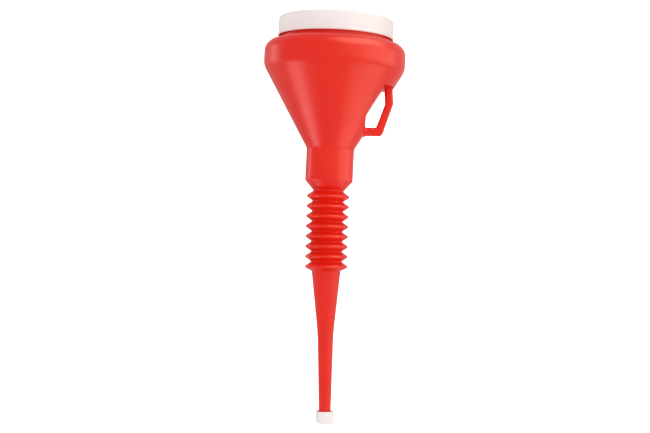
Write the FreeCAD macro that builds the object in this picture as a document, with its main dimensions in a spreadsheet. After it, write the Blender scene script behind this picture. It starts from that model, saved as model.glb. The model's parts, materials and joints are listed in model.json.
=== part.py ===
"""Flexible plastic funnel: a blow-moulded bowl with a screw lid, a bellows that bends, and a capped spout.

Units are millimetres and degrees. +Z points up and the bowl's axis is the Z axis. The origin is on that
axis at the level where the cone meets the cylindrical neck, which is where a filler or a holder ring
carries the funnel. +X points to the handle.
"""

import FreeCAD, Part
import math
import os

import Sketcher
from FreeCAD import Placement, Rotation, Vector

OUT = "parts"

# Driving dimensions: alias, value, what it is.
DIMENSIONS = [
    ("wall", 1.6, "wall of the bowl and its neck"),
    ("bowl_radius", 82.5, "bowl, outside, at its widest"),
    ("neck_radius", 27.8, "cylindrical neck under the cone, outside"),
    ("neck_length", 37.4, "length of the cylindrical neck"),
    ("cone_height", 94.4, "neck to the bottom of the bowl's upright side"),
    ("belly_round", 20.0, "rounding between cone and side"),
    ("shoulder_level", 124.6, "top of the shoulder"),
    ("shoulder_round", 14.0, "rounding between side and shoulder"),
    ("mouth_radius", 63.6, "threaded mouth, outside"),
    ("rim_level", 148.1, "top of the mouth"),
    ("foot_height", 11.6, "taper from the neck down to the bellows"),
    ("foot_radius", 17.7, "lower end of that taper, outside"),
    ("notch_depth_x", 38.9, "upright wall of the finger recess, from the axis"),
    ("notch_low", 14.0, "lower end of the recess cut"),
    ("notch_bend", 40.8, "level where the recess wall starts to lean"),
    ("notch_top_x", 58.4, "recess wall at the ceiling, from the axis"),
    ("notch_ceiling", 74.5, "ceiling of the finger recess"),
    ("notch_reach", 96.0, "far side of the recess cut"),
    ("handle_width", 12.0, "handle, across its flat"),
    ("handle_round", 2.6, "rounding of the handle's edges"),
    ("mouth_lead", 5.0, "lead of the lid's thread"),
    ("mouth_turns", 1.25, "turns of the lid's thread"),
    ("mouth_ridge", 1.3, "height of the thread ridges"),
    ("mouth_thread_start", 133.8, "lower end of the mouth's ridge"),
    ("lid_radius", 67.5, "lid, outside"),
    ("lid_bore", 65.6, "lid's skirt, inside"),
    ("lid_bottom", 129.2, "lower edge of the lid"),
    ("lid_top", 151.6, "top of the lid"),
    ("lid_under", 149.4, "underside of the lid's roof"),
    ("lid_edge_round", 2.8, "rounding of the lid's top edge"),
    ("lid_dish_radius", 57.0, "shallow dish in the lid's top"),
    ("lid_dish_depth", 0.8, "depth of that dish"),
    ("seal_outer", 65.2, "lid seal, outside"),
    ("seal_inner", 61.6, "lid seal, inside"),
    ("fold_wall", 1.2, "wall of the bellows"),
    ("fold_radius", 24.9, "bellows, outside, over the crests"),
    ("fold_waist", 18.2, "bellows, outside, in the grooves"),
    ("fold_half", 5.83, "height of half a fold"),
    ("fold_first", 6.6, "height of the first half fold"),
    ("fold_land", 0.45, "width of the upright band at a crest or groove"),
    ("fold_gap", 0.1, "how far each half stops short of its groove, so that a lean never overlaps"),
    ("rest_lean", 2.2, "how far the bellows leans the spout at rest"),
    ("spout_wall", 1.4, "wall of the spout"),
    ("spout_top_radius", 16.8, "spout under the bellows, outside"),
    ("spout_upper_radius", 10.15, "spout where the taper starts to ease, outside"),
    ("spout_upper_drop", 63.3, "spout's top to that place"),
    ("spout_waist_radius", 9.4, "spout half way through that change, outside"),
    ("spout_waist_drop", 73.0, "spout's top to that place"),
    ("spout_lower_radius", 8.85, "spout where the slow taper starts, outside"),
    ("spout_lower_drop", 85.0, "spout's top to that place"),
    ("spout_tip_radius", 6.85, "spout just above its collar, outside"),
    ("spout_taper_drop", 163.3, "spout's top to the collar's upper side"),
    ("collar_drop", 164.0, "spout's top to the collar's full width"),
    ("collar_under_drop", 165.0, "spout's top to the collar's underside"),
    ("collar_radius", 8.9, "collar above the tip's thread"),
    ("tip_radius", 7.4, "core of the threaded tip, outside"),
    ("tip_bore", 5.4, "bore of the tip"),
    ("tip_drop", 173.6, "spout's top to the tip's end"),
    ("tip_lead", 3.0, "lead of the tip's thread"),
    ("tip_turns", 1.5, "turns of the tip's thread"),
    ("tip_ridge", 1.1, "height of the tip's thread ridges"),
    ("tip_thread_drop", 172.3, "spout's top to the lower end of the tip's ridge"),
    ("cap_radius", 10.4, "tip cap, outside"),
    ("cap_bore", 8.8, "tip cap's skirt, inside"),
    ("cap_mouth_bore", 9.15, "tip cap, inside, round the collar"),
    ("cap_mouth_depth", 3.1, "depth of that counterbore"),
    ("cap_rim_drop", 162.0, "spout's top to the cap's rim"),
    ("cap_inner_drop", 174.7, "spout's top to the inside of the cap's end"),
    ("cap_end_drop", 176.4, "spout's top to the cap's end"),
    ("cap_end_round", 2.9, "rounding of the cap's end"),
    ("cap_rim_round", 0.5, "rounding of the cap's rim"),
    ("disc_radius", 8.4, "sealing disc in the tip cap"),
]

FOLDS = 8  # folds in the bellows; each is an upper and a lower half, hinged at its crest

# The handle's outline in the XZ plane: distance from the axis and height, outer side then inner side.
HANDLE_OUTER = [(70.1, 76.5), (69.4, 70.9), (70.8, 55.6), (60.3, 21.4), (58.0, 18.4), (33.0, 17.3)]
HANDLE_INNER = [(33.0, 26.6), (50.9, 27.3), (53.0, 29.9), (61.3, 55.2), (60.0, 69.0), (59.4, 76.5)]

doc = FreeCAD.newDocument("funnel")
sheet = doc.addObject("Spreadsheet::Sheet", "dims")
for row, (alias, value, meaning) in enumerate(DIMENSIONS, start=1):
    sheet.set(f"A{row}", alias)
    sheet.set(f"B{row}", repr(value))
    sheet.set(f"C{row}", meaning)
    sheet.setAlias(f"B{row}", alias)
doc.recompute()

ALIASES = {alias for alias, _, _ in DIMENSIONS}


def dim(alias):
    """The value of one driving dimension."""
    return float(getattr(sheet, alias))


def bound(expression):
    """The expression with each alias written as a reference to the sheet."""
    words, word = [], ""
    for letter in expression + " ":
        if letter.isalnum() or letter == "_":
            word += letter
            continue
        words.append(f"dims.{word}" if word in ALIASES else word)
        words.append(letter)
        word = ""
    return "".join(words).strip()


def value_of(expression):
    """The number that an expression of driving dimensions gives now."""
    found = sheet.evalExpression(bound(expression))
    return float(getattr(found, "Value", found))


def plane_of(body, role):
    return next(item for item in body.Origin.OriginFeatures if item.Role == role)


def outline(body, name, corners, role="XZ_Plane"):
    """A closed sketch of straight lines. Each corner is a pair of expressions, across and up."""
    sketch = body.newObject("Sketcher::SketchObject", name)
    sketch.AttachmentSupport = [(plane_of(body, role), "")]
    sketch.MapMode = "FlatFace"
    points = [Vector(value_of(across), value_of(up), 0) for across, up in corners]
    for start, end in zip(points, points[1:] + points[:1]):
        sketch.addGeometry(Part.LineSegment(start, end), False)
    for line in range(len(points)):
        after = (line + 1) % len(points)
        sketch.addConstraint(Sketcher.Constraint("Coincident", line, 2, after, 1))
    for line, (across, up) in enumerate(corners):
        place_corner(sketch, line, "DistanceX", across, points[line].x, -2)
        place_corner(sketch, line, "DistanceY", up, points[line].y, -1)
    return sketch


def place_corner(sketch, line, kind, expression, value, axis):
    """Holds the start of one line at a distance from the sketch's origin, or on its axis at zero."""
    if abs(value) < 1e-9:
        sketch.addConstraint(Sketcher.Constraint("PointOnObject", line, 1, axis))
        return
    number = sketch.addConstraint(Sketcher.Constraint(kind, -1, 1, line, 1, value))
    sketch.setExpression(f"Constraints[{number}]", bound(expression))


def new_body(label):
    body = doc.addObject("PartDesign::Body", label)
    body.Label = label
    return body


def turned(body, sketch):
    """The sketch turned once round the body's Z axis."""
    feature = body.newObject("PartDesign::Revolution", "turned")
    feature.Profile = sketch
    feature.ReferenceAxis = (sketch, ["V_Axis"])
    feature.Angle = 360
    doc.recompute()


def ring_edges(feature, radius, level):
    """Names of the round edges of that radius at that height."""
    names = []
    for number, edge in enumerate(feature.Shape.Edges, start=1):
        curve = edge.Curve
        if not isinstance(curve, Part.Circle) or abs(curve.Radius - radius) > 0.02:
            continue
        if abs(curve.Center.z - level) < 0.02:
            names.append(f"Edge{number}")
    return names


def rounded(body, name, radius, rings):
    """Rounds the round edges at the given (radius, level) pairs, each a pair of expressions."""
    base = body.Tip
    names = []
    for ring_radius, level in rings:
        names += ring_edges(base, value_of(ring_radius), value_of(level))
    if len(names) < len(rings):
        raise RuntimeError(f"{body.Label}: {name} found {len(names)} of {len(rings)} edges")
    feature = body.newObject("PartDesign::Fillet", name)
    feature.Base = (base, names)
    feature.setExpression("Radius", bound(radius))
    doc.recompute()


def wound(body, name, corners, lead, turns):
    """A thread ridge: its section, in the XZ plane, wound upward round Z."""
    section = outline(body, name + "_section", corners)
    feature = body.newObject("PartDesign::AdditiveHelix", name)
    feature.Profile = section
    feature.ReferenceAxis = (section, ["V_Axis"])
    feature.Mode = 1  # pitch and turns
    feature.setExpression("Pitch", bound(lead))
    feature.setExpression("Turns", bound(turns))
    feature.Angle = 0
    feature.Growth = 0
    feature.LeftHanded = False
    feature.Reversed = False
    doc.recompute()


# ---------------------------------------------------------------- bowl and handle


def bowl_skin(label, inset):
    """The bowl as a solid, inset from its outer surface by an expression, with the finger recess cut."""
    cone_angle = "atan((bowl_radius - neck_radius) / cone_height)"
    foot_angle = "atan((neck_radius - foot_radius) / foot_height)"
    half_cone = f"({inset}) * tan({cone_angle} / 2)"
    half_foot = f"({inset}) * tan({foot_angle} / 2)"
    body = new_body(label)
    sketch = outline(body, label + "_outline", [
        ("0", "-neck_length - foot_height"),
        (f"foot_radius - ({inset}) / cos({foot_angle})", "-neck_length - foot_height"),
        (f"neck_radius - ({inset})", f"-neck_length + {half_foot}"),
        (f"neck_radius - ({inset})", half_cone),
        (f"bowl_radius - ({inset})", f"cone_height + {half_cone}"),
        (f"bowl_radius - ({inset})", f"shoulder_level - ({inset})"),
        (f"mouth_radius - ({inset})", f"shoulder_level - ({inset})"),
        (f"mouth_radius - ({inset})", "rim_level"),
        ("0", "rim_level"),
    ])
    turned(body, sketch)
    rounded(body, "shoulder", f"shoulder_round - ({inset})",
            [(f"bowl_radius - ({inset})", f"shoulder_level - ({inset})")])
    rounded(body, "belly", f"belly_round - ({inset})",
            [(f"bowl_radius - ({inset})", f"cone_height + {half_cone}")])
    recess = outline(body, label + "_recess", [
        (f"notch_depth_x - ({inset})", "notch_low"),
        (f"notch_depth_x - ({inset})", "notch_bend"),
        (f"notch_top_x - ({inset})", f"notch_ceiling + ({inset})"),
        ("notch_reach", f"notch_ceiling + ({inset})"),
        ("notch_reach", "notch_low"),
    ])
    before = body.Shape.Volume
    pocket = body.newObject("PartDesign::Pocket", "recess")
    pocket.Profile = recess
    pocket.Type = 1  # through all
    pocket.Midplane = True
    doc.recompute()
    if body.Shape.Volume >= before - 1:
        raise RuntimeError(f"{label}: the finger recess cut nothing")
    return body


def bowl():
    """The moulded bowl: shoulder, cone, neck and the foot that the bellows hangs from."""
    outer = bowl_skin("bowl_outside", "0")
    ridge_root = "mouth_radius - 0.4"
    wound(outer, "mouth_ridge", [
        (ridge_root, "mouth_thread_start"),
        ("mouth_radius + mouth_ridge", "mouth_thread_start + 0.7"),
        ("mouth_radius + mouth_ridge", "mouth_thread_start + 1.5"),
        (ridge_root, "mouth_thread_start + 2.2"),
    ], "mouth_lead", "mouth_turns")
    inner = bowl_skin("bowl_inside", "wall")
    shell = doc.addObject("Part::Cut", "bowl")
    shell.Base, shell.Tool = outer, inner
    shell.Label = "bowl"
    return shell, outer


def is_bar_end(edge):
    """True for the edges at the two ends of the bar, which lie inside the bowl."""
    level = edge.BoundBox.ZLength < 1e-6 and edge.BoundBox.ZMax > dim("notch_ceiling")
    upright = edge.BoundBox.XLength < 1e-6 and edge.BoundBox.XMax < HANDLE_OUTER[-1][0] + 0.1
    return level or upright


def long_edges(bar):
    """Names of the bar's long edges, those in its two flat sides."""
    half = dim("handle_width") / 2
    names = []
    for number, edge in enumerate(bar.Shape.Edges, start=1):
        start, end = edge.Vertexes
        in_side = abs(abs(start.Y) - half) < 1e-6 and abs(start.Y - end.Y) < 1e-6
        if in_side and edge.Length > 2.0 and not is_bar_end(edge):
            names.append(f"Edge{number}")
    return names


def handle(outer):
    """The finger handle, a flat bar with rounded edges that springs from the recess's ceiling."""
    body = new_body("handle_bar")
    corners = [(str(x), str(z)) for x, z in HANDLE_OUTER + HANDLE_INNER]
    sketch = outline(body, "handle_outline", corners)
    pad = body.newObject("PartDesign::Pad", "bar")
    pad.Profile = sketch
    pad.Midplane = True
    pad.setExpression("Length", bound("handle_width"))
    doc.recompute()
    fillet = body.newObject("PartDesign::Fillet", "edges")
    fillet.Base = (pad, long_edges(pad))
    fillet.setExpression("Radius", bound("handle_round"))
    doc.recompute()
    bar = doc.addObject("Part::Cut", "handle")
    bar.Base, bar.Tool = body, outer
    bar.Label = "handle"
    return bar


# ---------------------------------------------------------------- lid


def lid():
    """The wide screw lid, with the ridge inside its skirt."""
    body = new_body("lid")
    sketch = outline(body, "lid_outline", [
        ("0", "lid_under"),
        ("lid_bore", "lid_under"),
        ("lid_bore", "lid_bottom"),
        ("lid_radius", "lid_bottom"),
        ("lid_radius", "lid_top"),
        ("lid_dish_radius", "lid_top"),
        ("lid_dish_radius", "lid_top - lid_dish_depth"),
        ("0", "lid_top - lid_dish_depth"),
    ])
    turned(body, sketch)
    rounded(body, "top_edge", "lid_edge_round", [("lid_radius", "lid_top")])
    ridge_root = "lid_bore + 0.4"
    middle = "mouth_thread_start + mouth_lead / 2 + 0.1"
    wound(body, "lid_ridge", [
        (ridge_root, middle),
        (ridge_root, f"{middle} + 2.0"),
        ("lid_bore - mouth_ridge", f"{middle} + 1.4"),
        ("lid_bore - mouth_ridge", f"{middle} + 0.6"),
    ], "mouth_lead", "mouth_turns")
    return body


def lid_seal():
    """The flat ring between the mouth's rim and the lid."""
    body = new_body("lid_seal")
    sketch = outline(body, "lid_seal_outline", [
        ("seal_inner", "rim_level"),
        ("seal_outer", "rim_level"),
        ("seal_outer", "lid_under"),
        ("seal_inner", "lid_under"),
    ])
    turned(body, sketch)
    return body


# ---------------------------------------------------------------- bellows


def half_fold(label, top_radius, bottom_radius, height):
    """Half a fold of the bellows, hanging down from the origin of its own frame."""
    body = new_body(label)
    groove_above = bottom_radius == "fold_radius"
    top = "-fold_gap" if groove_above else "0"
    bottom = f"-{height}" if groove_above else f"-{height} + fold_gap"
    flare = f"atan(({bottom_radius} - {top_radius}) / ({height} - 2 * fold_land))"
    across = f"fold_wall / cos({flare})"
    sketch = outline(body, label + "_outline", [
        (top_radius, top),
        (top_radius, "-fold_land"),
        (bottom_radius, f"-{height} + fold_land"),
        (bottom_radius, bottom),
        (f"{bottom_radius} - {across}", bottom),
        (f"{bottom_radius} - {across}", f"-{height} + fold_land"),
        (f"{top_radius} - {across}", "-fold_land"),
        (f"{top_radius} - {across}", top),
    ])
    turned(body, sketch)
    return body


def bellows_levels():
    """Each half fold's name, radii and height, from the top down."""
    halves = []
    for fold in range(1, FOLDS + 1):
        above = "foot_radius" if fold == 1 else "fold_waist"
        below = "spout_top_radius" if fold == FOLDS else "fold_waist"
        height = "fold_first" if fold == 1 else "fold_half"
        halves.append((f"fold_{fold}_upper", above, "fold_radius", height))
        halves.append((f"fold_{fold}_lower", "fold_radius", below, "fold_half"))
    return halves


def lean_places():
    """Where each half fold and then the spout hangs: [(point on the axis, lean in degrees)].

    The lean grows by one equal step at each groove, so the last place is the spout's own frame.
    """
    place = Vector(0, 0, value_of("-neck_length - foot_height"))
    step = dim("rest_lean") / (FOLDS + 1)
    lean, places = 0.0, []
    for number, (_, _, _, height) in enumerate(bellows_levels()):
        if number % 2 == 0:
            lean += step
        places.append((place, lean))
        down = Vector(math.sin(math.radians(lean)), 0, -math.cos(math.radians(lean)))
        place = place + down * value_of(height)
    places.append((place, lean + step))
    return places


def hang(thing, place, lean):
    """Moves a piece from its own frame to its place under the bowl, leaning to +X."""
    thing.Placement = Placement(place, Rotation(Vector(0, 1, 0), -lean))


def bellows(places):
    """The half folds, each in its place."""
    halves = []
    for (label, top_radius, bottom_radius, height), (place, lean) in zip(bellows_levels(), places):
        body = half_fold(label, top_radius, bottom_radius, height)
        hang(body, place, lean)
        halves.append(body)
    return halves


# ---------------------------------------------------------------- spout and tip cap


def spout():
    """The tapered spout, its collar and its threaded tip."""
    body = new_body("spout")
    sketch = outline(body, "spout_outline", [
        ("spout_top_radius", "0"),
        ("spout_upper_radius", "-spout_upper_drop"),
        ("spout_waist_radius", "-spout_waist_drop"),
        ("spout_lower_radius", "-spout_lower_drop"),
        ("spout_tip_radius", "-spout_taper_drop"),
        ("collar_radius", "-collar_drop"),
        ("collar_radius", "-collar_under_drop"),
        ("tip_radius", "-collar_under_drop"),
        ("tip_radius", "-tip_drop"),
        ("tip_bore", "-tip_drop"),
        ("tip_bore", "-spout_taper_drop"),
        ("spout_lower_radius - spout_wall", "-spout_lower_drop"),
        ("spout_waist_radius - spout_wall", "-spout_waist_drop"),
        ("spout_upper_radius - spout_wall", "-spout_upper_drop"),
        ("spout_top_radius - spout_wall", "0"),
    ])
    turned(body, sketch)
    root = "tip_radius - 0.3"
    wound(body, "tip_ridge_wound", [
        (root, "-tip_thread_drop"),
        ("tip_radius + tip_ridge", "-tip_thread_drop + 0.4"),
        ("tip_radius + tip_ridge", "-tip_thread_drop + 0.8"),
        (root, "-tip_thread_drop + 1.2"),
    ], "tip_lead", "tip_turns")
    return body


def tip_cap():
    """The small screw cap on the spout's tip."""
    body = new_body("tip_cap")
    sketch = outline(body, "tip_cap_outline", [
        ("0", "-cap_end_drop"),
        ("cap_radius", "-cap_end_drop"),
        ("cap_radius", "-cap_rim_drop"),
        ("cap_mouth_bore", "-cap_rim_drop"),
        ("cap_mouth_bore", "-cap_rim_drop - cap_mouth_depth"),
        ("cap_bore", "-cap_rim_drop - cap_mouth_depth"),
        ("cap_bore", "-cap_inner_drop"),
        ("0", "-cap_inner_drop"),
    ])
    turned(body, sketch)
    rounded(body, "end_edge", "cap_end_round", [("cap_radius", "-cap_end_drop")])
    rounded(body, "rim_edge", "cap_rim_round", [("cap_radius", "-cap_rim_drop")])
    root = "cap_bore + 0.3"
    low = "-tip_thread_drop + tip_lead / 2"
    wound(body, "cap_ridge", [
        (root, low),
        (root, f"{low} + 1.2"),
        ("cap_bore - tip_ridge + 0.1", f"{low} + 0.8"),
        ("cap_bore - tip_ridge + 0.1", f"{low} + 0.4"),
    ], "tip_lead", "tip_turns")
    return body


def tip_seal():
    """The sealing disc in the bottom of the tip cap."""
    body = new_body("tip_seal")
    sketch = outline(body, "tip_seal_outline", [
        ("0", "-cap_inner_drop"),
        ("disc_radius", "-cap_inner_drop"),
        ("disc_radius", "-tip_drop"),
        ("0", "-tip_drop"),
    ])
    turned(body, sketch)
    return body


# ---------------------------------------------------------------- assembly


def check(things):
    """Stops if any object of the document failed, or a sub-part isn't one valid solid."""
    doc.recompute()
    for item in doc.Objects:
        bad = {"Invalid", "Error"} & set(item.State)
        if bad:
            raise RuntimeError(f"{item.Label}: {sorted(bad)}")
    for item in things:
        shape = item.Shape
        if shape.isNull() or not shape.isValid() or len(shape.Solids) != 1:
            raise RuntimeError(f"{item.Label}: null, invalid or not one solid")


def build():
    """Makes every sub-part, checks it and writes it to its own file."""
    places = lean_places()
    shell, outer = bowl()
    things = [shell, handle(outer), lid(), lid_seal()]
    things += bellows(places)
    for piece in (spout(), tip_cap(), tip_seal()):
        hang(piece, *places[-1])
        things.append(piece)
    check(things)
    os.makedirs(OUT, exist_ok=True)
    for item in things:
        item.Shape.exportStep(os.path.join(OUT, item.Label + ".step"))
        print(f"{item.Label}: {item.Shape.Volume / 1000:.2f} cm3")


build()
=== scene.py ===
"""The looks of a red flexible-spout funnel with a white screw lid and tip cap, built round its CAD frame.

Metres, +Z up, +X towards the handle. The origin is on the bowl's axis where the cone meets the neck.
"""

import json
import math

import bpy
from mathutils import Matrix, Vector


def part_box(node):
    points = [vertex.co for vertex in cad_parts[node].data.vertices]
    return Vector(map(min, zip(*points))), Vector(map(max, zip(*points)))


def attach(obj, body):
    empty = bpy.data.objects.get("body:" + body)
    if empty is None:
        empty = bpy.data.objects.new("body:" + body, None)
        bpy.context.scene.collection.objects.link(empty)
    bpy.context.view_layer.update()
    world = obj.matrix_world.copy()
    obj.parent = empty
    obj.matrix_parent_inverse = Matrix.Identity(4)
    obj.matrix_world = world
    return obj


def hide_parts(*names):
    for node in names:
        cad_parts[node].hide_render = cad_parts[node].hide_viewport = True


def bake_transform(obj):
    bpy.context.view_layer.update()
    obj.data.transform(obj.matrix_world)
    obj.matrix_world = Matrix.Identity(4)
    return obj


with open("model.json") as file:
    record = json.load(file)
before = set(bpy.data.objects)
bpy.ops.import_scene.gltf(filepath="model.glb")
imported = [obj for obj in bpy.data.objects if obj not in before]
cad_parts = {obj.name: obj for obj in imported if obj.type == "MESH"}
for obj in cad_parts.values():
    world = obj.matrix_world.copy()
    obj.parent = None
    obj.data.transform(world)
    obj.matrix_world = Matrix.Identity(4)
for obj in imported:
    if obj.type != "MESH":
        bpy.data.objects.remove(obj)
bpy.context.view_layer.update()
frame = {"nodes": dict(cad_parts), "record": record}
MM = 0.001
SPIN = 256  # facets round the axis of the large pieces
FOLD_SPIN, SPOUT_SPIN = 160, 128
LID_SPIN, CAP_SPIN = 1200, 528  # facets enough to carry the grip ribs
SHARP_ANGLE = math.radians(50)  # edges sharper than this stay hard


# ---------------------------------------------------------------- measures, read from the frame


def span(node):
    """(lowest corner, highest corner) of a CAD node, in millimetres."""
    low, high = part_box(node)
    return low / MM, high / MM


def radius_of(node):
    low, high = span(node)
    return (high.y - low.y) / 2


JOINTS = {joint["name"]: joint for joint in frame["record"]["behaviour"]["joints"]}

bowl_low, bowl_high = span("bowl")
lid_low, lid_high = span("lid")
R_BOWL = radius_of("bowl")
RIM = bowl_high.z
FOOT_END = bowl_low.z
R_LID = radius_of("lid")
R_NECK = frame["record"]["mounts"][0]["dims"]["r_mm"]
NECK_END = -frame["record"]["mounts"][0]["dims"]["length_mm"]
R_FOOT = 17.7
WALL = 1.6
CONE_TOP = 94.4
SHOULDER = 124.6
R_MOUTH = 63.6
CONE_SLOPE = (R_BOWL - R_NECK) / CONE_TOP

# Finger recess in the cone: two flat walls and a ceiling, all cut straight across.
RECESS_X = 38.9
RECESS_BEND = 40.8
RECESS_TOP_X = 58.4
RECESS_CEILING = 74.5

# Bellows
FOLDS = 8
R_CREST = radius_of("fold_1_upper")
R_GROOVE = 18.2
R_SPOUT_TOP = radius_of("spout")
FOLD_WALL = 1.2
JOIN_UP = 3.0  # how far the first ring of the bellows reaches up over the bowl's foot
JOIN_DOWN = 3.0  # how far the last one reaches down over the spout

# Spout: a steep taper to the place where it eases, then a slow one; drops are from the last groove
R_TAPER_TOP, R_EASE, EASE_DROP = 16.8, 10.15, 63.3
R_SLOW_TOP, R_SLOW_END, SLOW_DROP, SLOW_LENGTH = 8.85, 6.85, 85.0, 78.3
R_TIP, R_TIP_BORE, TIP_DROP = 7.4, 5.4, 173.6

# Threads
MOUTH_LEAD, MOUTH_TURNS = 5.0, 1.25
TIP_LEAD, TIP_TURNS = 3.0, 1.5


# ---------------------------------------------------------------- mesh tools


def new_object(name, vertices, faces, material, smooth=True):
    mesh = bpy.data.meshes.new(name)
    mesh.from_pydata([Vector(v) * MM for v in vertices], [], faces)
    mesh.validate()
    mesh.polygons.foreach_set("use_smooth", [smooth] * len(mesh.polygons))
    if smooth:
        mesh.set_sharp_from_angle(angle=SHARP_ANGLE)
    mesh.materials.append(material)
    made = bpy.data.objects.new(name, mesh)
    bpy.context.scene.collection.objects.link(made)
    return made


def grid_faces(rows, columns, wrap_rows=False):
    """Quads of a grid whose columns close round; wrap_rows joins the last row to the first."""
    faces = []
    for row in range(rows if wrap_rows else rows - 1):
        below = row * columns
        above = ((row + 1) % rows) * columns
        for column in range(columns):
            after = (column + 1) % columns
            faces.append((below + column, below + after, above + after, above + column))
    return faces


def lathe(name, profile, material, spin=SPIN, shape=None, closed=True):
    """Turns a profile of (radius, height) round Z. shape(radius, height, angle) may move each radius."""
    vertices = []
    for radius, height in profile:
        for column in range(spin):
            angle = 2 * math.pi * column / spin
            r = shape(radius, height, angle) if shape else radius
            vertices.append((r * math.cos(angle), r * math.sin(angle), height))
    return new_object(name, vertices, grid_faces(len(profile), spin, closed), material)


def smooth_min(a, b, width):
    """The smaller of a and b, with a fillet about as wide as width where they meet."""
    if abs(a - b) >= width:
        return min(a, b)
    h = 0.5 + 0.5 * (b - a) / width
    return b + (a - b) * h - width * h * (1 - h)


def smooth_step(x):
    x = min(1.0, max(0.0, x))
    return x * x * (3 - 2 * x)


def rounded_path(corners, step=2.0):
    """Points along straight lines between corners of (x, y, radius), each corner rounded.

    No two are further apart than step.
    """
    pts = [Vector((c[0], c[1])) for c in corners]
    keys = [pts[0]]
    for n in range(1, len(pts) - 1):
        before, here, after = pts[n - 1], pts[n], pts[n + 1]
        u, v = (before - here).normalized(), (after - here).normalized()
        angle = u.angle(v)
        radius = corners[n][2]
        if radius <= 0 or angle > math.pi - 1e-3:
            keys.append(here)
            continue
        cut = min(
            radius / math.tan(angle / 2), (before - here).length * 0.995, (after - here).length * 0.995
        )
        radius = cut * math.tan(angle / 2)
        centre = here + (u + v).normalized() * (radius / math.sin(angle / 2))
        start, end = here + u * cut, here + v * cut
        a0 = math.atan2(*(start - centre).yx)
        turn = (math.atan2(*(end - centre).yx) - a0 + math.pi) % (2 * math.pi) - math.pi
        count = max(3, math.ceil(abs(math.degrees(turn)) / 7))
        for k in range(count + 1):
            a = a0 + turn * k / count
            keys.append(centre + Vector((math.cos(a), math.sin(a))) * radius)
    keys.append(pts[-1])
    path = [keys[0]]
    for key in keys[1:]:
        gap = (key - path[-1]).length
        count = max(1, math.ceil(gap / step))
        start = path[-1]
        path += [start.lerp(key, (k + 1) / count) for k in range(count)]
    return path


# ---------------------------------------------------------------- materials


def principled(name):
    material = bpy.data.materials.new(name)
    material.use_nodes = True
    nodes = material.node_tree.nodes
    return material, material.node_tree, nodes["Principled BSDF"]


def noise(tree, scale, detail, roughness, vector):
    node = tree.nodes.new("ShaderNodeTexNoise")
    node.inputs["Scale"].default_value = scale
    node.inputs["Detail"].default_value = detail
    node.inputs["Roughness"].default_value = roughness
    tree.links.new(vector, node.inputs["Vector"])
    return node


def ramp(tree, source, low, high, positions=(0.0, 1.0)):
    node = tree.nodes.new("ShaderNodeValToRGB")
    node.color_ramp.elements[0].position = positions[0]
    node.color_ramp.elements[1].position = positions[1]
    node.color_ramp.elements[0].color = low
    node.color_ramp.elements[1].color = high
    tree.links.new(source, node.inputs["Fac"])
    return node


def spread(tree, source, came, goes):
    """Maps the range came of a value to the range goes."""
    node = tree.nodes.new("ShaderNodeMapRange")
    node.inputs["From Min"].default_value, node.inputs["From Max"].default_value = came
    node.inputs["To Min"].default_value, node.inputs["To Max"].default_value = goes
    tree.links.new(source, node.inputs["Value"])
    return node


def bump(tree, height, strength, distance, normal=None):
    node = tree.nodes.new("ShaderNodeBump")
    node.inputs["Strength"].default_value = strength
    node.inputs["Distance"].default_value = distance
    tree.links.new(height, node.inputs["Height"])
    if normal is not None:
        tree.links.new(normal, node.inputs["Normal"])
    return node


def object_coordinates(tree):
    return tree.nodes.new("ShaderNodeTexCoord").outputs["Object"]


def polyethylene(name, low, high, rough_low, rough_high, flow, grain):
    """Satin moulded polyethylene: slight mottling, a fine grain and faint flow along the pull of the mould."""
    material, tree, shader = principled(name)
    place = object_coordinates(tree)
    mottling = noise(tree, 22.0, 4.0, 0.55, place)
    colour = ramp(tree, mottling.outputs["Fac"], (*low, 1), (*high, 1), (0.3, 0.7))
    tree.links.new(colour.outputs["Color"], shader.inputs["Base Color"])
    wear = noise(tree, 60.0, 5.0, 0.6, place)
    rough = spread(tree, wear.outputs["Fac"], (0.25, 0.75), (rough_low, rough_high))
    tree.links.new(rough.outputs["Result"], shader.inputs["Roughness"])
    stretch = tree.nodes.new("ShaderNodeMapping")
    stretch.inputs["Scale"].default_value = (1.0, 1.0, 0.12)
    tree.links.new(place, stretch.inputs["Vector"])
    streaks = noise(tree, 130.0, 2.0, 0.5, stretch.outputs["Vector"])
    fine = noise(tree, 1400.0, 2.0, 0.5, place)
    first = bump(tree, streaks.outputs["Fac"], flow, 0.0004)
    second = bump(tree, fine.outputs["Fac"], grain, 0.00008, first.outputs["Normal"])
    tree.links.new(second.outputs["Normal"], shader.inputs["Normal"])
    shader.inputs["IOR"].default_value = 1.5
    shader.inputs["Specular IOR Level"].default_value = 0.25
    shader.inputs["Subsurface Weight"].default_value = 0.12
    shader.inputs["Subsurface Radius"].default_value = (0.004, 0.0012, 0.0008)
    shader.inputs["Subsurface Scale"].default_value = 1.0
    return material


RED = polyethylene("red_polyethylene", (0.79, 0.012, 0.003), (0.84, 0.017, 0.005), 0.27, 0.35, 0.10, 0.25)
# The pink cast in the white's colour is a painted reflection of red light from the bowl, on top of the white
# plastic's own tone.
WHITE = polyethylene("white_polyethylene", (0.89, 0.80, 0.79), (0.93, 0.84, 0.83), 0.34, 0.44, 0.05, 0.20)
FOAM = polyethylene("liner_foam", (0.66, 0.65, 0.60), (0.74, 0.73, 0.68), 0.75, 0.9, 0.05, 0.9)


# ---------------------------------------------------------------- bowl


def recess_wall(height):
    """How far from the axis the recess's flat wall stands at a height, before the ceiling."""
    lean = (RECESS_TOP_X - RECESS_X) / (RECESS_CEILING - RECESS_BEND)
    flat = RECESS_X
    leaning = RECESS_X + (height - RECESS_BEND) * lean
    # the larger of the two, with a soft bend
    return -smooth_min(-flat, -leaning, 3.0)


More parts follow.
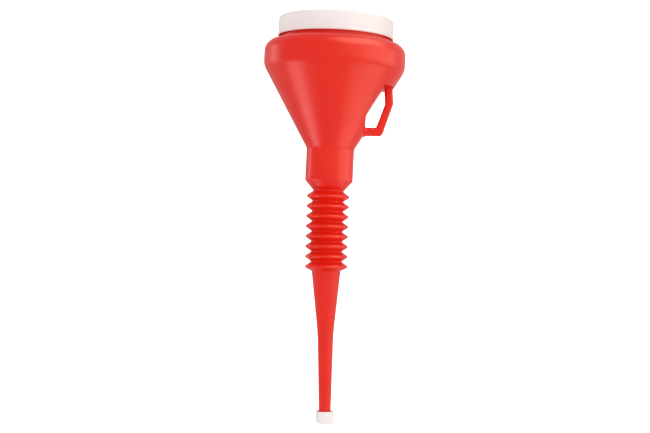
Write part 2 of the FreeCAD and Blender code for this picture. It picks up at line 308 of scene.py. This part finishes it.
def recessed(inset):
    """A lathe shape that presses the finger recess into the cone."""

    def shape(radius, height, angle):
        if height > RECESS_CEILING + 6 or math.cos(angle) < 0.2:
            return radius
        across = (recess_wall(min(height, RECESS_CEILING)) - inset) / math.cos(angle)
        over = max(0.0, height - (RECESS_CEILING + inset) + 0.8)
        across += over * 14.0
        return smooth_min(radius, across, 1.6)

    return shape


def bowl_profile(inset, low, high):
    """The bowl's outline from the foot's lower end to the mouth's rim, inset from the outer surface."""
    foot_angle = math.atan2(R_NECK - R_FOOT, NECK_END - FOOT_END)
    cone_angle = math.atan(CONE_SLOPE)
    foot_radius = R_FOOT + (low - FOOT_END) * math.tan(foot_angle)
    return [
        (foot_radius - inset / math.cos(foot_angle), low, 0),
        (R_NECK - inset, NECK_END + inset * math.tan(foot_angle / 2), 2.4 - inset * 0.5),
        (R_NECK - inset, inset * math.tan(cone_angle / 2), 8.0 + inset),
        (R_BOWL - inset, CONE_TOP + inset * math.tan(cone_angle / 2), 20.0 - inset),
        (R_BOWL - inset, SHOULDER - inset, 14.0 - inset),
        (R_MOUTH - inset, SHOULDER - inset, 0),
        (R_MOUTH - inset, high, 0),
    ]


def dense_profile(path):
    """Adds rows close together round the recess's ceiling."""
    rows = []
    for a, b in zip(path, path[1:]):
        rows.append(a)
        near = min(abs(a.y - RECESS_CEILING), abs(b.y - RECESS_CEILING)) < 5
        count = max(1, math.ceil((b - a).length / 0.2)) if near and a.y < RECESS_CEILING + 6 else 1
        rows += [a.lerp(b, k / count) for k in range(1, count)]
    rows.append(path[-1])
    return [(p.x, p.y) for p in rows]


def shell(name, outer, inner, material, spin, outer_shape, inner_shape):
    """A closed wall: the outer profile upwards, then the inner one downwards."""
    vertices = []
    rows = [(r, z, outer_shape) for r, z in outer] + [(r, z, inner_shape) for r, z in reversed(inner)]
    for radius, height, shape in rows:
        for column in range(spin):
            angle = 2 * math.pi * column / spin
            r = shape(radius, height, angle) if shape else radius
            vertices.append((r * math.cos(angle), r * math.sin(angle), height))
    return new_object(name, vertices, grid_faces(len(rows), spin, True), material)


BOWL_END = FOOT_END + JOIN_UP
bowl_outer = dense_profile(rounded_path(bowl_profile(0.0, BOWL_END, RIM), 1.5))
bowl_inner = dense_profile(rounded_path(bowl_profile(WALL, BOWL_END, RIM), 2.5))
bowl = shell("bowl_moulding", bowl_outer, bowl_inner, RED, SPIN * 2, recessed(0.0), recessed(WALL))
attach(bowl, "bowl_body")
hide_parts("bowl")


# ---------------------------------------------------------------- handle


def handle_section(width, thickness, edge, count=5):
    """Corners of a bar's rounded section: (across the bar, along Y), anticlockwise."""
    points = []
    for cx, cy, start in ((1, 1, 0), (-1, 1, 90), (-1, -1, 180), (1, -1, 270)):
        for k in range(count + 1):
            a = math.radians(start + 90 * k / count)
            points.append((
                cx * (thickness / 2 - edge) + edge * math.cos(a),
                cy * (width / 2 - edge) + edge * math.sin(a),
            ))
    return points


def sweep_bar(name, outer, inner, width, edge, material):
    """A bar in the XZ plane between two equally divided edges, with rounded section and flared ends."""
    vertices, rows = [], len(outer)
    for row, (far, near) in enumerate(zip(outer, inner)):
        middle, reach = (far + near) / 2, (far - near).length
        out = (far - near).normalized()
        share = row / (rows - 1)
        flare = 1 + 0.55 * (1 - smooth_step(share / 0.10)) + 0.75 * smooth_step((share - 0.90) / 0.10)
        section = handle_section(width * (0.72 + 0.28 * flare), reach * (0.55 + 0.45 * flare), edge)
        columns = len(section)
        for across, along in section:
            at = middle + out * across
            vertices.append((at.x, along, at.y))
    faces = grid_faces(rows, columns)
    faces.append(tuple(range(columns)))
    faces.append(tuple(range(columns * rows - 1, columns * (rows - 1) - 1, -1)))
    return new_object(name, vertices, faces, material)


def even_points(path, count):
    """count points at equal steps along a path."""
    lengths = [0.0]
    for a, b in zip(path, path[1:]):
        lengths.append(lengths[-1] + (b - a).length)
    points, at = [], 0
    for k in range(count):
        goal = lengths[-1] * k / (count - 1)
        while at < len(path) - 2 and lengths[at + 1] < goal:
            at += 1
        step = lengths[at + 1] - lengths[at]
        points.append(path[at].lerp(path[at + 1], (goal - lengths[at]) / step if step else 0))
    return points


HANDLE_WIDTH, HANDLE_EDGE = 12.0, 2.6
# The handle's two edges in the XZ plane, from the recess's ceiling down to its wall: (x, z, rounding)
HANDLE_FAR = [
    (70.2, 80.0, 0), (69.4, 70.9, 3), (70.8, 55.6, 6),
    (60.4, 21.4, 4), (58.0, 17.6, 3.5), (34.5, 17.1, 0),
]
HANDLE_NEAR = [
    (59.0, 80.0, 0), (60.0, 69.0, 3), (61.3, 55.2, 4),
    (53.0, 30.0, 2), (51.6, 27.0, 2.5), (34.5, 26.7, 0),
]
bar = sweep_bar(
    "handle_bar",
    even_points(rounded_path(HANDLE_FAR, 0.5), 120),
    even_points(rounded_path(HANDLE_NEAR, 0.5), 120),
    HANDLE_WIDTH, HANDLE_EDGE, RED,
)
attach(bar, "bowl_body")
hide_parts("handle")


# ---------------------------------------------------------------- bellows

HINGES = [JOINTS[f"spout_bend_{way}_{k}"] for k in range(1, FOLDS + 1) for way in ("side", "front")]
HINGES.append(JOINTS[f"spout_bend_side_{FOLDS + 1}"])
PIVOTS = [Vector(joint["pos_m"]) / MM for joint in HINGES]
SPOUT_WAY = Vector(JOINTS["tip_cap_off"]["axis"])
SPOUT_LEAN = math.atan2(SPOUT_WAY.x, -SPOUT_WAY.z)
STATIONS = [0.0]
for above, below in zip(PIVOTS, PIVOTS[1:]):
    STATIONS.append(STATIONS[-1] + (below - above).length)
BELLOWS_LENGTH = STATIONS[-1]


def on_axis(s):
    """(point, lean) of the bellows' axis, s below its first groove.

    It bends evenly from the bowl to the spout.
    """
    lean = SPOUT_LEAN * min(1.0, max(0.0, s / BELLOWS_LENGTH))
    if s <= 0:
        return PIVOTS[0] + Vector((0, 0, -s)), 0.0
    if s >= BELLOWS_LENGTH:
        return PIVOTS[-1] + SPOUT_WAY * (s - BELLOWS_LENGTH), SPOUT_LEAN
    n = max(k for k in range(len(STATIONS) - 1) if STATIONS[k] <= s)
    return PIVOTS[n].lerp(PIVOTS[n + 1], (s - STATIONS[n]) / (STATIONS[n + 1] - STATIONS[n])), lean


def ring(s, radius, spin):
    """A ring of points round the bellows' axis."""
    centre, lean = on_axis(s)
    side = Vector((math.cos(lean), 0, math.sin(lean)))
    front = Vector((0, 1, 0))
    points = []
    for column in range(spin):
        a = 2 * math.pi * column / spin
        points.append(centre + side * (radius * math.cos(a)) + front * (radius * math.sin(a)))
    return points


CREST = R_CREST - 0.1
CREST_ROUND = 1.9
GROOVE_ROUND = 0.8


def flare(low_radius, high_radius, height, wall):
    """Half a fold from a groove (s 0) to a crest (s height): rounded, straight, rounded.

    wall is 0 for the outside and the wall's thickness for the inside.
    """
    low, high = low_radius + GROOVE_ROUND, high_radius - CREST_ROUND
    reach = math.hypot(height, high - low)
    slope = math.atan2(high - low, height) + math.asin((GROOVE_ROUND + CREST_ROUND) / reach)
    points = []
    for k in range(9):
        a = slope * k / 8
        points.append(((GROOVE_ROUND + wall) * math.sin(a), low - (GROOVE_ROUND + wall) * math.cos(a)))
    for k in range(9):
        a = slope * (8 - k) / 8
        points.append((height - (CREST_ROUND - wall) * math.sin(a), high + (CREST_ROUND - wall) * math.cos(a)))
    middle = len(points) // 2
    first, last = points[middle - 1], points[middle]
    fill = [tuple(Vector(first).lerp(Vector(last), k / 4)) for k in (1, 2, 3)]
    return points[:middle] + fill + points[middle:]


def bellows_wall(wall):
    """The whole bellows' outline as (s, radius), from the first groove to the last.

    Also gives the middle point of each flare.
    """
    points, middles = [], []
    for half in range(2 * FOLDS):
        start, height = STATIONS[half], STATIONS[half + 1] - STATIONS[half]
        if half % 2 == 0:
            groove = R_FOOT if half == 0 else R_GROOVE
            part = [(start + s, r) for s, r in flare(groove, CREST, height, wall)]
        else:
            groove = R_SPOUT_TOP if half == 2 * FOLDS - 1 else R_GROOVE
            part = [(start + height - s, r) for s, r in reversed(flare(groove, CREST, height, wall))]
        points += part if not points else part[1:]
        middles.append(part[len(part) // 2])
    return points, middles


def wall_piece(name, outer, inner, spin, material):
    """A closed ring of wall between two outlines of (s, radius)."""
    rows = outer + inner[::-1]
    vertices = [p for s, r in rows for p in ring(s, r, spin)]
    return new_object(name, vertices, [f[::-1] for f in grid_faces(len(rows), spin, True)], material)


def foot_outline(inset):
    """The taper over the first groove, as (s, radius): the bowl's own wall runs down to here."""
    slope = (R_NECK - R_FOOT) / (NECK_END - FOOT_END)
    across = inset * math.hypot(1, slope)
    return [(-s, R_FOOT + slope * s - across) for s in (JOIN_UP, 2.4, 1.8, 1.2)]


def spout_top_outline(inset):
    """The spout's wall just under the last groove."""
    return [(BELLOWS_LENGTH + d, spout_radius(d) - inset) for d in (1.0, 2.0, JOIN_DOWN)]


def spout_radius(d):
    """The spout's outside, d below the last groove: a steep taper that eases into a slow one."""
    steep = R_TAPER_TOP - d * (R_TAPER_TOP - R_EASE) / EASE_DROP
    slow = R_SLOW_TOP - (d - SLOW_DROP) * (R_SLOW_TOP - R_SLOW_END) / SLOW_LENGTH
    return -smooth_min(-steep, -slow, 0.9)


outer, outer_middles = bellows_wall(0.0)
inner, inner_middles = bellows_wall(FOLD_WALL)


def between(points, start, end):
    """The points from start to end, both of which are points of the outline."""
    return points[points.index(start):points.index(end) + 1]


for n, joint in enumerate(HINGES):
    first, last = n == 0, n == len(HINGES) - 1
    o_start = outer[0] if first else outer_middles[n - 1]
    o_end = outer[-1] if last else outer_middles[n]
    i_start = inner[0] if first else inner_middles[n - 1]
    i_end = inner[-1] if last else inner_middles[n]
    o_part, i_part = between(outer, o_start, o_end), between(inner, i_start, i_end)
    if first:
        o_part, i_part = foot_outline(0.0) + o_part[1:], foot_outline(FOLD_WALL) + i_part[1:]
    if last:
        o_part, i_part = o_part + spout_top_outline(0.0), i_part + spout_top_outline(FOLD_WALL)
    fold = wall_piece(f"fold_{n + 1:02d}_skin", o_part, i_part, FOLD_SPIN, RED)
    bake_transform(fold)
    if n < 2 * FOLDS:
        half = frame["record"]["behaviour"]["bodies"][joint["child"]]
        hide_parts(*half)


# ---------------------------------------------------------------- spout


def along_spout(points, name, spin, material, shape=None):
    """Turns (drop, radius) points round the spout's axis into a closed surface."""
    vertices = []
    for d, r in points:
        for p, column in zip(ring(BELLOWS_LENGTH + d, 1.0, spin), range(spin)):
            centre, _ = on_axis(BELLOWS_LENGTH + d)
            a = 2 * math.pi * column / spin
            radius = shape(d, r, a) if shape else r
            vertices.append(centre + (p - centre) * radius)
    return new_object(name, vertices, [f[::-1] for f in grid_faces(len(points), spin, True)], material)


spout_outer = [(d, spout_radius(d)) for d in [JOIN_DOWN + k * 2.0 for k in range(80)] + [163.2]]
spout_outer += [(163.6, 7.6), (163.95, 8.65), (164.1, 8.88), (164.85, 8.88), (165.0, 8.7), (165.0, R_TIP)]
spout_outer += [(173.0, R_TIP), (173.5, 7.15), (TIP_DROP, 6.8)]
spout_inner = [(TIP_DROP, 5.6), (TIP_DROP - 0.3, R_TIP_BORE)]
inner_drops = [160.0 - k * 4.0 for k in range(40)]
spout_inner += [(d, max(R_TIP_BORE, spout_radius(d) - 1.3)) for d in inner_drops if d > JOIN_DOWN]
spout_inner.append((JOIN_DOWN, spout_radius(JOIN_DOWN) - 1.2))
spout = along_spout(spout_outer + spout_inner, "spout_skin", SPOUT_SPIN, RED)
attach(spout, "spout_body")
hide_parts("spout")


def ridge(start, lead, turns, root, crest, foot_half, crest_half, place):
    """A wound thread ridge whose ends taper into the wall. place(radius, angle, height) gives a point."""
    count = int(turns * 72)
    vertices = []
    for k in range(count + 1):
        a = 2 * math.pi * turns * k / count
        height = start + lead * turns * k / count
        fade = smooth_step(min(k, count - k) / 6)
        top = root + (crest - root) * fade
        for radius, offset in ((root, -foot_half), (top, -crest_half), (top, crest_half), (root, foot_half)):
            vertices.append(place(radius, a, height + offset))
    faces = []
    for k in range(count):
        for c in range(3):
            faces.append((4 * k + c, 4 * k + c + 1, 4 * k + c + 5, 4 * k + c + 4))
        faces.append((4 * k + 3, 4 * k, 4 * k + 4, 4 * k + 7))
    faces += [(0, 1, 2, 3), tuple(4 * count + c for c in (3, 2, 1, 0))]
    return vertices, faces


def upright(radius, angle, height):
    return (radius * math.cos(angle), radius * math.sin(angle), height)


def on_spout(radius, angle, height):
    """A point round the spout's axis; height is measured up from the last groove, so it is negative."""
    points = ring(BELLOWS_LENGTH - height, 1.0, 1)
    centre, _ = on_axis(BELLOWS_LENGTH - height)
    side = points[0] - centre
    return centre + side * (radius * math.cos(angle)) + Vector((0, 1, 0)) * (radius * math.sin(angle))


def thread(name, body, slot, material, *ridge_sizes):
    """Adds a thread ridge to a body. ridge_sizes are what ridge() takes."""
    made = new_object(name, *ridge(*ridge_sizes), material, smooth=False)
    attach(made, body)


thread(
    "mouth_thread", "bowl_body", "red_plastic", RED,
    134.9, MOUTH_LEAD, MOUTH_TURNS, 63.4, 64.9, 1.1, 0.4, upright,
)
thread(
    "tip_thread", "spout_body", "red_plastic", RED,
    -171.7, TIP_LEAD, TIP_TURNS, 7.3, 8.5, 0.6, 0.2, on_spout,
)


# ---------------------------------------------------------------- lid


def ribbed(count, depth, low, high, fade):
    """A lathe shape with count upright grip ribs between two heights."""

    def shape(radius, height, angle):
        inside = smooth_step((height - low) / fade) * smooth_step((high - height) / fade)
        return radius - depth * inside * (0.5 - 0.5 * math.cos(count * angle)) ** 1.5

    return shape


LID_TOP = lid_high.z
LID_LOW = lid_low.z
LID_ROOF, LID_SKIRT = 2.2, 1.9
LID_UNDER = LID_TOP - LID_ROOF
LID_BORE = R_LID - LID_SKIRT
LID_RIBS, LID_RIB_DEPTH = 150, 0.16
LID_SIDE = R_LID - 0.25  # the ribbed side stands in from the rim band


def lid_outline():
    """The lid's section as (radius, height): roof, skirt's end, side, top edge and dish."""
    edge = rounded_path([(57.0, LID_TOP, 0), (LID_SIDE, LID_TOP, 2.4), (LID_SIDE, LID_TOP - 6, 0)], 1.0)
    outside = [(p.x, p.y) for p in edge][::-1]
    side = [(R_LID, LID_LOW + 0.4), (R_LID, LID_LOW + 2.9), (LID_SIDE, LID_LOW + 3.3)]
    side += [(LID_SIDE, LID_LOW + 3.6 + k * 0.8) for k in range(16)]
    lower = [(LID_BORE, LID_LOW + 0.4), (LID_BORE + 0.4, LID_LOW), (R_LID - 0.4, LID_LOW)]
    roof = [(0.01, LID_UNDER), (30.0, LID_UNDER), (LID_BORE - 0.8, LID_UNDER), (LID_BORE, LID_UNDER - 0.8)]
    dish = [(56.4, LID_TOP - 0.15), (55.9, LID_TOP - 0.7), (55.2, LID_TOP - 0.8)]
    dish += [(r, LID_TOP - 0.8) for r in (50.0, 40.0, 30.0, 20.0, 10.0, 3.0, 0.01)]
    return roof + lower + side + outside[1:] + dish


lid_shape = ribbed(LID_RIBS, LID_RIB_DEPTH, LID_LOW + 3.4, LID_TOP - 2.9, 0.9)


def lid_radius(radius, height, angle):
    return lid_shape(radius, height, angle) if radius > R_LID - 1.0 else radius


lid = lathe("screw_lid", lid_outline(), WHITE, LID_SPIN, lid_radius)
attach(lid, "lid_body")
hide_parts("lid")
thread(
    "lid_thread", "lid_body", "white_plastic", WHITE,
    137.4, MOUTH_LEAD, MOUTH_TURNS, 65.7, 64.3, 1.0, 0.4, upright,
)


# ---------------------------------------------------------------- tip cap

CAP_RIM, CAP_END, CAP_UNDER = 162.0, 176.4, 174.7
R_CAP, CAP_BORE = 10.4, 8.8
CAP_SIDE = R_CAP - 0.1
CAP_RIBS, CAP_RIB_DEPTH = 44, 0.30


def cap_outline():
    """The tip cap's section as (radius, height), from the middle of its end round to its inside."""
    end = [(r, -CAP_END) for r in (0.01, 3.0, 6.0)]
    corner = rounded_path([(6.0, -CAP_END, 0), (CAP_SIDE, -CAP_END, 2.9), (CAP_SIDE, -CAP_END + 5, 0)], 0.6)
    wall = [(CAP_SIDE, -CAP_END + 5.2 + k * 0.5) for k in range(12)]
    rim = [(R_CAP, -CAP_RIM - 2.0), (R_CAP, -CAP_RIM - 0.5)]
    rim += [(R_CAP - 0.15, -CAP_RIM - 0.14), (R_CAP - 0.5, -CAP_RIM)]
    bore = [(9.3, -CAP_RIM), (9.15, -CAP_RIM - 0.2), (9.15, -CAP_RIM - 3.1), (CAP_BORE, -CAP_RIM - 3.1)]
    floor = [(CAP_BORE, -CAP_UNDER), (4.0, -CAP_UNDER), (0.01, -CAP_UNDER)]
    return end + [(p.x, p.y) for p in corner[1:]] + wall + rim + bore + floor


cap_shape = ribbed(CAP_RIBS, CAP_RIB_DEPTH, -CAP_END + 2.6, -CAP_RIM - 1.9, 0.7)


def cap_radius(drop, radius, angle):
    return cap_shape(radius, -drop, angle) if radius > R_CAP - 0.6 else radius


cap = along_spout([(-z, r) for r, z in cap_outline()], "tip_cap_skin", CAP_SPIN, WHITE, cap_radius)
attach(cap, "tip_cap_body")
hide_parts("tip_cap")
thread(
    "cap_thread", "tip_cap_body", "white_plastic", WHITE,
    -170.2, TIP_LEAD, TIP_TURNS, 8.9, 7.8, 0.6, 0.2, on_spout,
)


# ---------------------------------------------------------------- CAD pieces that stay

for node in ("lid_seal", "tip_seal"):
    liner = frame["nodes"][node]
    liner.data.materials.clear()
    liner.data.materials.append(FOAM)


# ---------------------------------------------------------------- camera

LENS = 68.7  # mm, on a sensor 36 mm wide
DISTANCE = 1.448
ROLL = math.radians(2.75)
AWAY = math.radians(1.1)
ASIDE, ABOVE = 0.0063, 0.0788  # where the part's origin stands from the middle of the view


def camera_matrix():
    """Where the camera stands so that the bowl leans right by ROLL and its top leans away by AWAY."""
    up = Vector((math.sin(ROLL) * math.cos(AWAY), math.cos(ROLL) * math.cos(AWAY), -math.sin(AWAY)))
    side = Vector((math.cos(ROLL), -math.sin(ROLL), 0.0))
    ahead = up.cross(side)
    world_from_camera = Matrix((side, ahead, up))
    matrix = world_from_camera.to_4x4()
    matrix.translation = -(world_from_camera @ Vector((ASIDE, ABOVE, -DISTANCE)))
    return matrix


camera_data = bpy.data.cameras.new("camera")
camera_data.sensor_width = 36.0
camera_data.lens = LENS
camera_data.clip_end = 50.0
camera = bpy.data.objects.new("camera", camera_data)
bpy.context.scene.collection.objects.link(camera)
camera.matrix_world = camera_matrix()
bpy.context.scene.camera = camera


# ---------------------------------------------------------------- stage

# The floor stays clear of the cap when it is off.
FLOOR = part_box("tip_cap")[0].z - JOINTS["tip_cap_off"]["range_m"][1] - 0.005


def stage_material(name, colour):
    """Matt paper that also gives off its own colour, so that it stays evenly pale."""
    material, tree, shader = principled(name)
    grain = noise(tree, 8.0, 3.0, 0.5, object_coordinates(tree))
    shade = ramp(tree, grain.outputs["Fac"], tuple(0.985 * c for c in colour) + (1,), (*colour, 1))
    tree.links.new(shade.outputs["Color"], shader.inputs["Base Color"])
    shader.inputs["Roughness"].default_value = 0.9
    shader.inputs["Specular IOR Level"].default_value = 0.1
    tree.links.new(shade.outputs["Color"], shader.inputs["Emission Color"])
    shader.inputs["Emission Strength"].default_value = 1.0
    return material


def dish(name, radius, material):
    """A round floor that sweeps up into a wall all round."""
    profile = [(0.001, 0.0)] + [(radius * k / 12, 0.0) for k in range(1, 13)]
    bend = 1.0
    for k in range(1, 17):
        a = math.pi / 2 * k / 16
        profile.append((radius + bend * math.sin(a), bend * (1 - math.cos(a))))
    profile.append((radius + bend, 5.0))
    made = lathe(name, [(r / MM, z / MM) for r, z in profile], material, 96, None, False)
    made.location.z = FLOOR
    made.data.flip_normals()
    return made


sweep = dish("sweep", 4.0, stage_material("pale_paper", (0.9, 0.9, 0.9)))
sweep.visible_glossy = False
sweep.visible_diffuse = False
sweep.visible_shadow = False


NEUTRAL, WARM = (1.0, 1.0, 1.0), (1.0, 0.93, 0.66)


def softbox(name, azimuth, height, distance, size, radiance, aim, colour):
    """A rectangular lamp that shows in reflections only.

    Azimuth 0 is behind the camera, and it grows to the right.
    """
    a = math.radians(azimuth)
    place = Vector((math.sin(a) * distance, -math.cos(a) * distance, height))
    data = bpy.data.lights.new(name, "AREA")
    data.shape = "RECTANGLE"
    data.size, data.size_y = size
    data.energy = radiance * math.pi * size[0] * size[1]
    data.color = colour
    made = bpy.data.objects.new(name, data)
    bpy.context.scene.collection.objects.link(made)
    made.location = place
    made.rotation_mode = "QUATERNION"
    made.rotation_quaternion = (place - Vector(aim)).to_track_quat("Z", "Y")
    made.visible_diffuse = False


softbox("low_left", -84, -1.15, 1.2, (0.7, 0.9), 5.0, (0, 0, 0.05), NEUTRAL)
softbox("strip_left", -112, 0.05, 1.35, (0.35, 0.75), 3.4, (0, 0, -0.05), NEUTRAL)
softbox("bank_right", 76, 0.1, 1.5, (2.0, 0.8), 2.8, (0, 0, 0), WARM)
softbox("bank_low", 76, -1.35, 1.5, (2.0, 1.1), 2.8, (0, 0, 0.05), WARM)
softbox("top", 50, 1.1, 1.0, (1.8, 1.4), 6.2, (0, 0, 0.1), WARM)

world = bpy.data.worlds.new("world")
world.use_nodes = True
tree = world.node_tree
sky = tree.nodes["Background"]
sky.inputs["Color"].default_value = (1, 1, 1, 1)
toward = tree.nodes.new("ShaderNodeVectorMath")
toward.operation = "DOT_PRODUCT"
toward.inputs[1].default_value = (0.35, -0.93, 0.1)
tree.links.new(tree.nodes.new("ShaderNodeTexCoord").outputs["Generated"], toward.inputs[0])
front = spread(tree, toward.outputs["Value"], (-1.0, 1.0), (0.55, 1.12))
tree.links.new(front.outputs["Result"], sky.inputs["Strength"])
bpy.context.scene.world = world
bpy.context.scene.view_settings.view_transform = "Standard"
